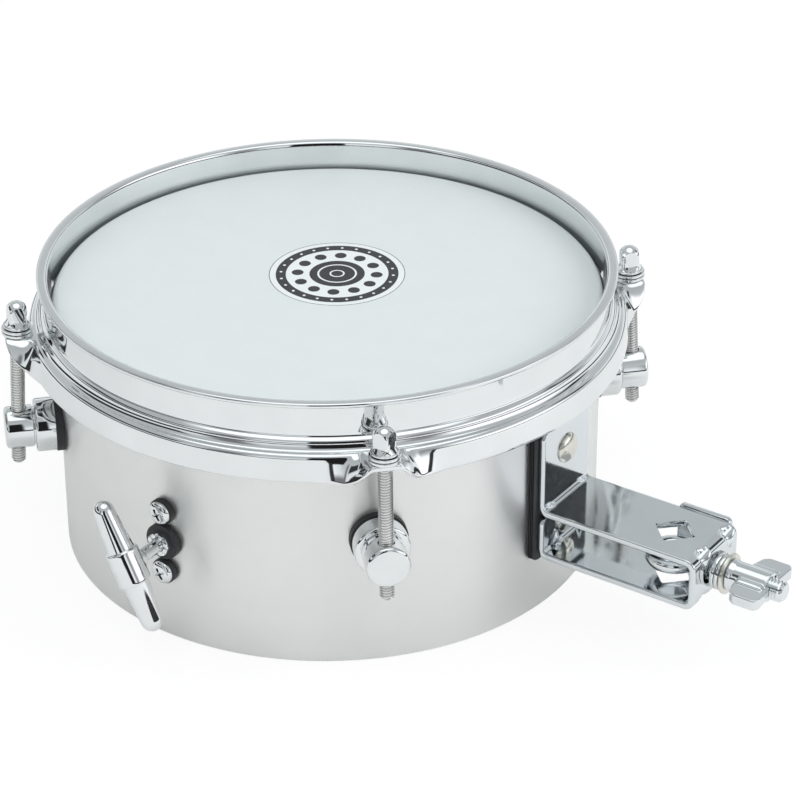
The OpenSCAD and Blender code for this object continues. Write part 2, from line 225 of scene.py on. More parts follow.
def shape(name, parts, place=Matrix(), sharp=40):
    """One object from parts, put in place in the shared frame."""
    mesh = bpy.data.meshes.new(name)
    points = []
    faces = []
    for part_points, part_faces in parts:
        base = len(points)
        points += part_points
        faces += [tuple(base + k for k in face) for face in part_faces]
    mesh.from_pydata(points, [], faces)
    work = bmesh.new()
    work.from_mesh(mesh)
    bmesh.ops.remove_doubles(work, verts=work.verts, dist=0.0015)
    bmesh.ops.recalc_face_normals(work, faces=work.faces)
    work.to_mesh(mesh)
    work.free()
    mesh.transform(METRES @ place)
    smooth(mesh, sharp)
    obj = bpy.data.objects.new(name, mesh)
    bpy.context.scene.collection.objects.link(obj)
    return obj


def bake(obj, sharp=40):
    """Makes the result of the object's modifiers its mesh."""
    view = bpy.context.evaluated_depsgraph_get()
    mesh = bpy.data.meshes.new_from_object(obj.evaluated_get(view))
    obj.modifiers.clear()
    obj.data = mesh
    smooth(mesh, sharp)


def cut(obj, parts, place=Matrix(), sharp=40):
    """Takes the parts away from the object."""
    tool = shape("cutter", parts, place)
    step = obj.modifiers.new("cut", "BOOLEAN")
    step.operation = "DIFFERENCE"
    step.object = tool
    step.solver = "EXACT"
    bake(obj, sharp)
    bpy.data.objects.remove(tool)


def bevel(obj, width, angle=50, sharp=40):
    step = obj.modifiers.new("bevel", "BEVEL")
    step.width = width * 0.001
    step.segments = 2
    step.limit_method = "ANGLE"
    step.angle_limit = math.radians(angle)
    bake(obj, sharp)


def add(obj, material, body, nodes=()):
    """Gives a piece its finish, its body and the frame nodes it stands for."""
    obj.data.materials.clear()
    obj.data.materials.append(material)
    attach(obj, body)
    if nodes:
        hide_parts(*nodes)


def ease(t):
    """A smooth step from 0 to 1."""
    t = min(max(t, 0.0), 1.0)
    return t * t * (3 - 2 * t)


# ---- finishes ----

def link(tree, a, b):
    tree.links.new(a, b)


def noise(tree, grain, stretch=(1, 1, 1), detail=3.0):
    """A noise over the object. grain is its size in millimetres."""
    where = tree.nodes.new("ShaderNodeTexCoord")
    scale = tree.nodes.new("ShaderNodeMapping")
    scale.inputs["Scale"].default_value = stretch
    texture = tree.nodes.new("ShaderNodeTexNoise")
    texture.inputs["Scale"].default_value = 1000 / grain
    texture.inputs["Detail"].default_value = detail
    link(tree, where.outputs["Object"], scale.inputs["Vector"])
    link(tree, scale.outputs["Vector"], texture.inputs["Vector"])
    return texture.outputs["Fac"]


def spread(tree, value, low, high):
    """A noise value mapped to run from low to high."""
    node = tree.nodes.new("ShaderNodeMapRange")
    node.inputs["From Min"].default_value = 0.3
    node.inputs["From Max"].default_value = 0.7
    node.inputs["To Min"].default_value = low
    node.inputs["To Max"].default_value = high
    link(tree, value, node.inputs["Value"])
    return node.outputs["Result"]


def finish(name, colour, metallic, rough, grain, depth, stretch=(1, 1, 1), vary=0.04, anisotropic=0.0,
           coat=0.0, uneven=0.3):
    """A finish with blotches of colour, uneven roughness and a fine relief. depth is in millimetres."""
    material = bpy.data.materials.new(name)
    material.use_nodes = True
    tree = material.node_tree
    shader = tree.nodes["Principled BSDF"]
    shader.inputs["Metallic"].default_value = metallic
    shader.inputs["Anisotropic"].default_value = anisotropic
    shader.inputs["Anisotropic Rotation"].default_value = 0.25
    shader.inputs["Coat Weight"].default_value = coat
    shader.inputs["Coat Roughness"].default_value = 0.15
    mix = tree.nodes.new("ShaderNodeMix")
    mix.data_type = "RGBA"
    mix.inputs["A"].default_value = [c * (1 - vary) for c in colour] + [1]
    mix.inputs["B"].default_value = [min(1.0, c * (1 + vary)) for c in colour] + [1]
    link(tree, spread(tree, noise(tree, 14), 0, 1), mix.inputs["Factor"])
    link(tree, mix.outputs["Result"], shader.inputs["Base Color"])
    fine = noise(tree, grain, stretch)
    worn = spread(tree, fine, rough * (1 - uneven), rough * (1 + uneven))
    link(tree, worn, shader.inputs["Roughness"])
    relief = tree.nodes.new("ShaderNodeBump")
    relief.inputs["Strength"].default_value = 1.0
    relief.inputs["Distance"].default_value = depth * 0.001
    link(tree, fine, relief.inputs["Height"])
    link(tree, relief.outputs["Normal"], shader.inputs["Normal"])
    return material


BRUSHED = finish("shell_steel", (0.92, 0.925, 0.905), 1.0, 0.4, 0.4, 0.0003, (0.02, 0.02, 1), 0.01, 0.7,
                 uneven=0.08)
FILM = finish("head_film", (0.62, 0.66, 0.655), 0.0, 0.5, 0.7, 0.006, vary=0.012, coat=0.15)
CHROME = finish("chrome", (0.83, 0.845, 0.85), 1.0, 0.05, 2.5, 0.0012, vary=0.02)
CAST = finish("cast_chrome", (0.80, 0.825, 0.84), 1.0, 0.09, 1.8, 0.0025, vary=0.03)
FOLDED = finish("bracket_chrome", (0.77, 0.80, 0.82), 1.0, 0.09, 1.6, 0.0012, vary=0.02)
ROD = finish("rod_steel", (0.68, 0.68, 0.67), 1.0, 0.2, 0.3, 0.004, (1, 1, 0.2), 0.05)
ZINC = finish("zinc", (0.64, 0.65, 0.65), 1.0, 0.32, 0.6, 0.006, vary=0.06)
CREAM = finish("pale_zinc", (0.78, 0.76, 0.69), 1.0, 0.2, 0.9, 0.0012, vary=0.05)
DARK = finish("dark_steel", (0.33, 0.34, 0.35), 1.0, 0.35, 0.4, 0.006, vary=0.08)
ALLOY = finish("hoop_aluminium", (0.66, 0.67, 0.68), 1.0, 0.4, 0.4, 0.006, (0.05, 0.05, 1), 0.04)
RUBBER = finish("black_rubber", (0.024, 0.025, 0.027), 0.0, 0.55, 0.25, 0.02, vary=0.15)
BRASS = finish("brass", (0.72, 0.56, 0.27), 1.0, 0.28, 0.5, 0.005, (1, 0.1, 1), 0.06)
WIRE = finish("snare_wire", (0.66, 0.66, 0.65), 1.0, 0.25, 0.3, 0.003, vary=0.05)
INK = finish("black_print", (0.02, 0.02, 0.022), 0.0, 0.42, 0.4, 0.003, vary=0.12)
LABEL = finish("pale_print", (0.70, 0.73, 0.725), 0.0, 0.45, 0.5, 0.003, vary=0.012)


# ---- counterhoop ----

SHEET_T = 1.9
SHEET_BEND_R = 2.1
SHEET_START = (107.3, 90.0)
SHEET_LEN = 11.2
SKIRT_DROP = 85
FLARE_SHARE = 0.62
ROD_HOLE_R = 3.3


def hoop_wall():
    """The part of the section that is the same all round: up the inside, over the rim, down to the step."""
    inside = [(105.6, 88.3), (105.4, 89.2), (105, 91.1), (102.2, 92.2), (101.6, 93.9), (101.6, 106.2)]
    rim = [(102, 107.4), (102.8, 107.8), (105.2, 107.8), (105.7, 107.3), (105.7, 106.4), (105.3, 106)]
    outside = [(104.1, 106), (103.5, 105.4), (103.5, 95.2)]
    step = [
        (103.7, 94.2), (104.3, 93.8), (105, 93.3), (105.35, 92.7), (105.5, 91.9), (106, 90.9), (106.7, 90.2),
    ]
    return rounded(inside + rim + outside + step, 0.45, steps=3, closed=False)


def hoop_sheet(drop):
    """The lower sheet of the section, turned down by drop degrees: top face, edge, then underside."""
    bend = math.radians(drop)
    top = []
    for k in range(8):
        t = bend * k / 7
        x = SHEET_START[0] + SHEET_BEND_R * math.sin(t)
        z = SHEET_START[1] - SHEET_BEND_R * (1 - math.cos(t))
        top.append((Vector((x, z)), Vector((math.sin(t), math.cos(t)))))
    along = Vector((math.cos(bend), -math.sin(bend)))
    last, normal = top[-1]
    straight = SHEET_LEN - SHEET_BEND_R * bend
    top += [(last + along * straight * k / 7, normal) for k in range(1, 7)]
    end = last + along * straight
    line = [p for p, n in top]
    line += [end - along * 0.4, end - (along + normal) * 0.12, end - normal * 0.4]
    line += [end - normal * (SHEET_T - 0.4), end - normal * (SHEET_T - 0.12) - along * 0.12]
    line += [end - normal * SHEET_T - along * 0.4]
    line += [p - n * SHEET_T for p, n in reversed(top)]
    return [tuple(p) for p in line]


def skirt_drop(sideways):
    """How far the sheet turns down beside a rod: flat at the ear, then a steep flare, then a full skirt."""
    flare = ease((sideways - 4) / 9.5)
    settle = ease((sideways - 8) / 17)
    return SKIRT_DROP * (FLARE_SHARE * flare + (1 - FLARE_SHARE) * settle)


def hoop_angles():
    """Angles round the hoop in degrees, each with its offset from the nearest rod, dense near the ears."""
    near = 62
    step = 0.22
    far = 48
    gap = 90 - 2 * near * step
    angles = []
    for side in SIDES:
        middle = ROD_ANGLE[side]
        angles += [(middle + k * step, k * step) for k in range(-near, near + 1)]
        angles += [(middle + near * step + gap * k / far, 45) for k in range(1, far)]
    return angles


def counterhoop():
    wall = hoop_wall()
    loops = []
    for angle, offset in hoop_angles():
        sideways = abs(EAR_R * math.sin(math.radians(offset)))
        section = wall + hoop_sheet(skirt_drop(sideways))
        a = math.radians(angle)
        loops.append([(r * math.cos(a), r * math.sin(a), z) for r, z in section])
    hoop = shape("hoop_chrome", [skin(loops, ring=True)], sharp=75)
    hole = lathe([(ROD_HOLE_R, 84), (ROD_HOLE_R, 96)], 40)
    cut(hoop, [placed(hole, at_rod(side) @ move(EAR_R)) for side in SIDES], sharp=60)
    add(hoop, CHROME, "hoop", ["counterhoop"])


def head():
    """The film's disc, its collar over the flesh hoop and the way back underneath."""
    profile = rounded([
        (0, 97.5), (98.3, 97.5), (99.4, 97.2), (100.15, 96.4), (100.15, 91.5), (100.4, 91.5), (100.4, 96.6),
        (99.6, 97.45), (98.4, 97.75), (0, 97.75),
    ], 0.4, steps=3, closed=False)
    loops = [circle(max(r, 0.001), z, 192) for r, z in profile]
    film = shape("film", [skin(loops)], sharp=50)
    film.data.materials.append(FILM)
    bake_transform(film)
    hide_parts("drumhead_film")


BADGE = (-2.45, 9.28)
HEAD_TOP = 97.75


def ring_part(inner, outer, low, high, steps=96):
    return lathe([(inner, low), (outer, low), (outer, high), (inner, high)], steps, ring=True)


def badge():
    """A round print on the head: rings and dots only."""
    place = move(BADGE[0], BADGE[1], HEAD_TOP)
    base = shape("badge_ground", [lathe([(0, 0), (25.2, 0), (25.2, 0.02), (0, 0.02)], 128)], place)
    add(base, LABEL, "drum")
    parts = [ring_part(24.85, 25.1, 0.01, 0.04, 128), ring_part(18.9, 22.6, 0.01, 0.04, 128)]
    dot = lathe([(0, 0.01), (2.2, 0.01), (2.2, 0.04), (0, 0.04)], 32)
    parts += [placed(dot, turn(k * 30, "Z") @ move(14.6)) for k in range(12)]
    parts += [lathe([(0, 0.01), (10.2, 0.01), (10.2, 0.04), (0, 0.04)], 64)]
    add(shape("badge_print", parts, place), INK, "drum")
    mark = lathe([(0, 0.03), (0.55, 0.03), (0.55, 0.06), (0, 0.06)], 20)
    ticks = [placed(mark, turn(k * 15, "Z") @ move(20.75)) for k in range(24)]
    ticks += [ring_part(6.6, 7.3, 0.03, 0.06), ring_part(2.2, 2.8, 0.03, 0.06)]
    add(shape("badge_marks", ticks, place), LABEL, "drum")


# ---- tension rods ----

def key_head():
    """The square key with its domed top and flared foot, above a round flange."""
    steps = 64
    half = 6.35 / 2
    dome_r = 4.2
    dome_z = 8.6
    foot_r = 4.5
    square = 14
    outline = []
    for k in range(steps):
        a = TAU * k / steps
        reach = (abs(math.cos(a)) ** square + abs(math.sin(a)) ** square) ** (1 / square)
        outline.append((a, min(half / reach, dome_r - 0.02)))

    def loop(share, height, flare=0.0):
        """The square shrunk by share and drawn out to the foot by flare. No height means on the dome."""
        points = []
        for a, r in outline:
            r = r * share * (1 - flare) + foot_r * flare
            dome = dome_z + math.sqrt(dome_r ** 2 - min(r, dome_r - 0.01) ** 2)
            z = dome if height is None else height
            points.append((r * math.cos(a), r * math.sin(a), z))
        return points

    loops = [loop(1, 3.8, 1), loop(1, 4.0, 1), loop(1, 5.0, 0.35), loop(1, 5.5), loop(1, 8.0)]
    loops += [loop(1, None), loop(0.97, None)]
    loops += [loop(share, None) for share in (0.85, 0.7, 0.5, 0.3, 0.12, 0.001)]
    return skin(loops)


def tension_rod(side):
    """A threaded shank, a chromed key head on a flange, and two washers."""
    shank = thread(2.12, 2.65, ROD_PITCH, ROD_TIP, 3.1, 1.7)
    rod = shape("rod_" + side, [shank], along_rod(side), sharp=32)
    add(rod, ROD, "rod_" + side, ["tension_rod_" + side])
    flange = lathe(rounded([(0, 2.95), (5.0, 2.95), (5.0, 3.85), (0, 3.85)], 0.35, closed=False))
    square = placed(key_head(), turn(KEY_TURN[side], "Z"))
    key = shape("key_" + side, [flange, square], along_rod(side), sharp=32)
    add(key, CHROME, "rod_" + side)
    ring = []
    for low, high in ((0.15, 1.3), (1.6, 2.65)):
        ring.append(lathe(rounded([(2.8, low), (5.6, low), (5.6, high), (2.8, high)], 0.3), ring=True))
    washers = shape("washers_" + side, ring, along_rod(side))
    add(washers, CHROME, "rod_" + side, ["rod_washers_" + side])


# ---- lugs ----

def lug(side):
    """A post turned about the radius, with a hole through it for the leaning rod."""
    depth = LUG_FRONT - LUG_BACK
    step = LUG_NECK - LUG_BACK
    profile = rounded([
        (0, 0), (9.9, 0), (9.9, step - 0.6), (9.2, step), (7.1, step), (7.1, step + 0.5), (7.8, step + 0.6),
        (7.8, depth - 0.9), (7.0, depth), (0, depth),
    ], [0, 0.3, 0.5, 0.4, 0.2, 0.2, 0.3, 0.6, 0.6, 0], closed=False)
    body = shape("post_" + side, [lathe(profile, 128)], at_rod(side) @ out_x(LUG_BACK, 0, LUG_Z), sharp=30)
    bore = lathe([(3.0, ROD_TIP - 5), (3.0, ROD_TIP + 45)], 48)
    cut(body, [bore], along_rod(side), sharp=30)
    add(body, CHROME, "drum", ["lug_" + side])


# ---- bracket ----

def walk(x, z, heading, moves):
    """Points along a folded strip, from moves that are lines (length in mm) or turns (degrees, radius in mm).

    Each is (x, z, heading, distance past the nearest bend's start, that bend's way and number, run so far).
    """
    samples = [(x, z, heading)]
    bends = []
    travelled = 0.0
    spots = [0.0]
    for kind, size, radius in moves:
        if kind == "line":
            count = max(1, math.ceil(size / 0.5))
            for _ in range(count):
                x += size / count * math.cos(heading)
                z += size / count * math.sin(heading)
                travelled += size / count
                spots.append(travelled)
                samples.append((x, z, heading))
            continue
        way = 1 if size > 0 else -1
        length = abs(math.radians(size)) * radius
        bends.append((travelled, way, len(bends)))
        for _ in range(8):
            half = math.radians(size) / 16
            chord = 2 * radius * math.sin(abs(half))
            x += chord * math.cos(heading + half)
            z += chord * math.sin(heading + half)
            heading += 2 * half
            travelled += length / 8
            spots.append(travelled)
            samples.append((x, z, heading))
    result = []
    for sample, spot in zip(samples, spots):
        start, way, number = min(bends, key=lambda bend: abs(bend[0] + 3 - spot))
        result.append(sample + (spot - start, way, number, spot))
    return result


def strip_loop(sample, total):
    """The strip's cross section at one place, with darts pressed across the bends and rounded ends."""
    x, z, heading, past, way, number, spot = sample
    normal = Vector((-math.sin(heading), 0, math.cos(heading)))
    near_end = min(spot, total - spot)
    corner = 3.0
    narrow = corner - math.sqrt(corner ** 2 - max(0.0, corner - near_end) ** 2)
    half = STRIP_HALF - min(narrow, 2.9)
    t = STRIP_T / 2
    edge = 0.5
    columns = 56
    flat = [-half + edge + (2 * half - 2 * edge) * k / columns for k in range(columns + 1)]
    over = [(y, t) for y in flat] + [(half - 0.15, t - 0.15), (half, t - edge)]
    under = [(-y, -t) for y in flat] + [(-half + 0.15, -t + 0.15), (-half, -t + edge)]
    loop = []
    for y, height in over + [(half, -t + edge), (half - 0.15, -t + 0.15)] + under + [
            (-half, t - edge), (-half + 0.15, t - 0.15)]:
        loop.append(tuple(Vector((x, y, z)) + normal * (height + way * dart(past, number, y))))
    return loop


def dart(past, number, y):
    """Depth of the two darts pressed across a bend: small at the first bend, long points at the others."""
    if number == 0:
        aside = abs(abs(y) - 10.7)
        return max(0.0, 1.0 - 0.45 * aside - 0.4 * abs(past - 2.2))
    depth = 2.7
    deepest = 1
    lead = 1.4
    tail = 8.5
    aside = min(abs(y - 10.2), abs(y + 6.8))
    run = (past - deepest) / lead if past < deepest else (deepest - past) / tail
    return max(0.0, depth * (1 + run) - 0.7 * aside)


def bracket():
    """One folded strip with a square window in each arm, and a tab along the far edge of the top arm."""
    bend = 2.8
    arm = 56
    moves = [
        ("line", 29.4, 0), ("turn", 90, bend), ("line", arm, 0), ("turn", -90, bend), ("line", 12, 0),
        ("turn", -90, bend), ("line", arm, 0), ("turn", -90, bend), ("line", 12.3, 0),
    ]
    samples = walk(102.2, 75, math.radians(-90), moves)
    total = samples[-1][6]
    strip = skin([strip_loop(sample, total) for sample in samples])
    body = shape("bracket_strip", [strip], sharp=55)
    diamond = rounded([(8.2, 0), (0, 8.2), (-8.2, 0), (0, -8.2)], 0.9)
    windows = [skin([[(x, y, z) for x, y in diamond] for z in levels]) for levels in ((20, 30), (38, 48))]
    cut(body, windows, move(PASSAGE_X), sharp=55)
    bolt_hole = lathe([(4.3, 160), (4.3, 168)], 48)
    cut(body, [bolt_hole], out_x(0, 0, CLAMP_Z), sharp=55)
    bevel(body, 0.22, 60, 50)
    add(body, FOLDED, "drum", ["bracket"])
    outline = rounded(box_outline(141, 25.5, 162, 45), [0.5, 0.5, 2.4, 2.4])
    tab = shape("bracket_tab", [slab(outline, -17.3, -14.9, 0.45)], turn(90, "X"))
    add(tab, FOLDED, "drum", ())


def gasket_loop(z, half):
    """The gasket's outline at one height: flat front, grooved sides, and a back curved to the shell."""
    front_x = 101
    back_r = 100.02
    groove = 0.5
    columns = 24
    behind = math.sqrt(back_r ** 2 - half ** 2)
    side = [(front_x, half - 0.25), (front_x - 0.15, half)]
    for k in range(3):
        x = behind + (front_x - behind) * (0.78 - 0.27 * k)
        side += [(x + 0.22, half), (x + 0.08, half - groove), (x - 0.14, half - groove), (x - 0.28, half)]
    side += [(behind + 0.02, half)]
    loop = [(x, -y, z) for x, y in reversed(side)] + [(x, y, z) for x, y in side]
    for k in range(1, columns):
        y = half - 2 * half * k / columns
        loop.append((math.sqrt(back_r ** 2 - y * y), y, z))
    return loop


def bracket_gasket():
    low = 22.5
    high = 76
    rows = 90
    corner = 3.5
    half = 17.7
    loops = []
    for i in range(rows + 1):
        z = low + (high - low) * i / rows
        narrow = corner - math.sqrt(corner ** 2 - max(0.0, corner - min(z - low, high - z)) ** 2)
        loops.append(gasket_loop(z, half - min(narrow, 3.4)))
    pad = shape("bracket_pad", [skin(loops)], sharp=30)
    add(pad, RUBBER, "drum", ["bracket_gasket"])


def bracket_bolts():
    """Two domed bolts through the bracket's flanges."""
    dome_line = [(0, 0), (5.6, 0), (5.6, 0.5), (4.6, 1.5), (2.6, 2.35), (0, 2.6)]
    dome = rounded(dome_line, [0, 0.1, 0.4, 1, 1.5, 0], steps=5, closed=False)
    shank = thread(2.5, 3.0, 1.0, -11.8, 0.2, 2.2)
    parts = [placed(part, out_x(103.43, 0, z)) for z in (34, 63) for part in (lathe(dome, 64), shank)]
    add(shape("bracket_screws", parts, sharp=30), CREAM, "drum", ["bracket_bolts"])


# ---- clamp ----

def clamp_spring():
    """A double coil of flat wire."""
    turns = 1.9
    half_t = 0.72
    pitch = (4.6 - 2 * half_t) / turns
    steps = 150
    section = rounded([(4.5, -half_t), (6.8, -half_t), (6.8, half_t), (4.5, half_t)], 0.25, steps=2)
    loops = []
    for i in range(steps + 1):
        a = math.radians(140) - TAU * turns * i / steps
        shift = half_t + pitch * turns * i / steps
        loops.append([(r * math.cos(a), r * math.sin(a), z + shift) for r, z in section])
    spring = shape("spring", [skin(loops)], out_x(165.05, 0, CLAMP_Z))
    add(spring, CHROME, "drum", ["clamp_spring"])
    ring = lathe(rounded([(4.3, 0), (7.5, 0), (7.5, 1.3), (4.3, 1.3)], 0.5), 96, ring=True)
    add(shape("washer", [ring], out_x(169.85, 0, CLAMP_Z)), CREAM, "drum", ["clamp_washer"])


def eye_bolt():
    """A round eye between the arms, its neck and its screw."""
    major = 7.75
    minor = 2.75
    loops = []
    for i in range(72):
        a = TAU * i / 72
        loop = []
        for k in range(28):
            b = TAU * k / 28
            r = major + minor * math.cos(b)
            loop.append((r * math.cos(a), r * math.sin(a), minor * math.sin(b)))
        loops.append(loop)
    eye = placed(skin(loops, ring=True), move(PASSAGE_X, 0, CLAMP_Z))
    neck_line = [(0, 6.5), (2.7, 6.5), (2.9, 9.6), (3.95, 11.6), (3.95, 14.6), (0, 14.6)]
    neck = lathe(rounded(neck_line, 1.5, closed=False), 48)
    screw = placed(thread(3.42, 4.0, 1.25, 0, 32, 3.0, 40), move(192.4, 0, CLAMP_Z) @ turn(-90, "Y"))
    parts = [eye, placed(neck, out_x(PASSAGE_X, 0, CLAMP_Z)), screw]
    add(shape("eye_screw", parts, sharp=35), CAST, "eye_bolt", ["eye_bolt"])


def wing_nut():
    """A cast nut: its barrel and wings are fused and softened."""
    wing = rounded([(4.2, 0), (16.6, 0), (17.4, 11.9), (16, 14), (8, 14), (5.9, 12.4), (4.6, 8)], 0.7)
    barrel_line = [(0, 0), (5.9, 0), (5.9, 1.2), (5.5, 2), (5.4, 15.6), (0, 15.6)]
    barrel = lathe(rounded(barrel_line, 0.6, closed=False), 64)
    parts = [placed(barrel, turn(90, "Y"))]
    for s in (0, 180):
        parts.append(placed(slab(wing, -2.1, 2.1, 0.5), turn(s, "X")))
        root = slab(rounded([(4.2, 0), (15.6, 0), (15.6, 7.4), (5.2, 7.4)], 1.0), -3.3, 3.3, 1.3)
        parts.append(placed(root, turn(s, "X")))
    nut = shape("wing_casting", parts, move(171.2, 0, CLAMP_Z))
    fuse = nut.modifiers.new("fuse", "REMESH")
    fuse.mode = "VOXEL"
    fuse.voxel_size = 0.0002
    soften = nut.modifiers.new("soften", "SMOOTH")
    soften.factor = 0.5
    soften.iterations = 3
    bake(nut, 180)
    cut(nut, [lathe([(4.08, 170), (4.08, 190)], 48)], out_x(0, 0, CLAMP_Z), sharp=60)
    add(nut, CAST, "wing_nut", ["wing_nut"])


# ---- snare handle ----

def handle():
    """A tapered cross bar with a thick middle on a threaded shaft."""
    end = 25
    tip_r = 3.9
    half = []
    for k in range(10):
        a = math.radians(9 * k)
        half.append((tip_r * math.sin(a), -end + tip_r - tip_r * math.cos(a)))
    half += [(tip_r, -end + tip_r)]
    sleeve = [(4.85, -6.6), (4.9, -6.35), (5.6, -6.3), (5.95, -5.95), (5.95, -5)]
    half += rounded(sleeve, 0.2, steps=2, closed=False)
    profile = half + [(r, -z) for r, z in reversed(half)]
    bar = lathe(profile, 96)
    place = AT_HANDLE @ move(BAR_R, 0, HANDLE_Z)
    boss_line = [(0, -7.1), (3.3, -7.1), (3.6, -6.4), (3.6, -4), (0, -4)]
    boss = placed(lathe(rounded(boss_line, 0.4, closed=False), 48), turn(90, "Y"))
    grip = shape("grip", [placed(bar, turn(BAR_TILT, "X")), boss], place, sharp=30)
    add(grip, CHROME, "t_handle", ["handle_bar"])
    screw = thread(2.05, 2.48, 0.8, 87.9, 104.4, 1.8)
    rod = lathe(rounded([(0, 104.3), (2.48, 104.3), (2.48, 116), (0, 116)], 0.1, closed=False), 48)
    shaft = shape("shaft", [screw, rod], AT_HANDLE @ out_x(0, 0, HANDLE_Z))
    add(shaft, CHROME, "t_handle", ["handle_screw"])


def bushing():
    """A round collar with a castellated face, on a threaded tube."""
    columns = 144
    profile = [(2.58, 0, 0), (2.58, 2.3, 1), (2.75, 2.5, 1), (4.05, 2.6, 1), (4.35, 2.3, 1)]
    profile += [(4.4, 1.0, 0), (4.4, 0.2, 0), (4.2, 0, 0)]
    loops = []
    for r, z, top in profile:
        loop = []
        for k in range(columns):
            a = TAU * k / columns
            notch = 0.55 * ease((math.cos(8 * a) - 0.35) / 0.5) * top
            loop.append((r * math.cos(a), r * math.sin(a), RUBBER_FACE + z - notch))
        loops.append(loop)
    tube = lathe([(2.58, 92.4), (3.2, 92.4), (3.2, 103.2), (2.58, 103.2)], 48, ring=True)
    collar = shape("bush", [skin(loops, ring=True), tube], AT_HANDLE @ out_x(0, 0, HANDLE_Z), sharp=30)
    add(collar, CHROME, "drum", ["handle_bushing"])


def cross_screws():
    """The two cross-head screws above and below the handle."""
    head_line = [(0, 0), (4.35, 0), (4.35, 0.7), (3.7, 1.6), (2.2, 2.15), (0, 2.3)]
    profile = rounded(head_line, [0, 0.15, 0.5, 0.8, 0.9, 0], closed=False)
    shank = thread(1.6, 2.0, 0.7, -10.4, 0.2, 1.4)
    arm = box_outline(-0.5, -2.3, 0.5, 2.3)
    slot = skin([[(x * s, y * s, z) for x, y in arm] for z, s in ((0.75, 0.75), (3, 1.15))])
    for name, way, nodes in (("low", -1, ()), ("high", 1, ["snare_screws"])):
        place = AT_HANDLE @ out_x(RUBBER_FACE, 0, HANDLE_Z + way * SCREW_GAP) @ turn(28, "Z")
        screw = shape("snare_screw_" + name, [lathe(profile, 64)], place, sharp=35)
        for a in (0, 90):
            cut(screw, [slot], place @ turn(a, "Z"), sharp=35)
        add(screw, CHROME, "drum", nodes)
        add(shape("snare_shank_" + name, [shank], place), ZINC, "drum")


def rubber_washers():
    """The soft discs under the cross screws and the bush."""
    def disc(radius, bore, z):
        line = [(bore, 99.9), (radius, 99.9), (radius, RUBBER_FACE), (bore, RUBBER_FACE)]
        return placed(lathe(rounded(line, 0.3), 96, ring=True), out_x(0, 0, z))

    pair = [disc(4.8, 2.15, HANDLE_Z + way * SCREW_GAP) for way in (-1, 1)]
    add(shape("screw_rubbers", pair, AT_HANDLE), RUBBER, "drum", ["snare_screw_washers"])
    wide = shape("bush_rubber", [disc(6.8, 3.35, HANDLE_Z)], AT_HANDLE)
    add(wide, RUBBER, "drum", ["handle_rubber_washer"])


def snare_wires():
    """A fan of coiled wires between the two plates."""
    count = 10
    near = 17
    far = 46
    start = 72
    stop = -20
    run = start - stop
    parts = []
    for k in range(count):
        share = k / (count - 1) - 0.5
        widen = share * (far - near)
        aim = turn(-math.degrees(math.atan2(widen, run)), "Z") @ turn(-90, "Y")
        length = math.hypot(run, widen)
        parts.append(placed(coil(0.6, 0.2, 0.95, length), move(start, share * near, 90.7) @ aim))
    wires = shape("wires", parts, AT_HANDLE, sharp=60)
    add(wires, WIRE, "snare_lever", ["snare_wires"])


# ---- finishes for the frame's own pieces ----

PLAIN = {
    "shell": BRUSHED, "flesh_hoop": ALLOY,
    "lug_screws": ZINC, "lug_screw_washers": ZINC, "bracket_bolt_washers": ZINC, "bracket_bolt_nuts": ZINC,
    "snare_base": ZINC, "snare_screw_nuts": ZINC, "handle_bushing_nut": ZINC, "handle_pad": BRASS,
    "lever_pin": DARK, "lever_pin_clips": DARK, "snare_lever": ZINC, "snare_near_plate": BRASS,
    "snare_far_plate": BRASS, "snare_plate_screws": ZINC,
}


def plain_finishes():
    for side in SIDES:
        PLAIN["lug_gasket_" + side] = RUBBER
    for name, material in PLAIN.items():
        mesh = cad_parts[name].data
        mesh.materials.clear()
        mesh.materials.append(material)


# ---- studio ----

def card(tree, across, height, middle, half, low, high, soft):
    """1 inside a patch of sky and 0 outside it, with soft edges. Angles are in radians."""
    def window(value, a, b):
        """1 while the value is between a and b."""
        rise = tree.nodes.new("ShaderNodeMapRange")
        rise.interpolation_type = "SMOOTHSTEP"
        rise.inputs["From Min"].default_value = a - soft
        rise.inputs["From Max"].default_value = a + soft
        link(tree, value, rise.inputs["Value"])
        fall = tree.nodes.new("ShaderNodeMapRange")
        fall.interpolation_type = "SMOOTHSTEP"
        fall.inputs["From Min"].default_value = b - soft
        fall.inputs["From Max"].default_value = b + soft
        fall.inputs["To Min"].default_value = 1
        fall.inputs["To Max"].default_value = 0
        link(tree, value, fall.inputs["Value"])
        both = tree.nodes.new("ShaderNodeMath")
        both.operation = "MULTIPLY"
        link(tree, rise.outputs["Result"], both.inputs[0])
        link(tree, fall.outputs["Result"], both.inputs[1])
        return both.outputs["Value"]

    patch = tree.nodes.new("ShaderNodeMath")
    patch.operation = "MULTIPLY"
    link(tree, window(across, middle - half, middle + half), patch.inputs[0])
    link(tree, window(height, low, high), patch.inputs[1])
    return patch.outputs["Value"]


CAMERA_AT = Vector((0.583072, -0.805559, 0.616869))
CAMERA_RIGHT = Vector((0.826467, 0.562972, -0.003929))
CAMERA_UP = Vector((-0.276351, 0.411756, 0.868382))
CAMERA_BACK = Vector((0.490492, -0.716603, 0.495881))

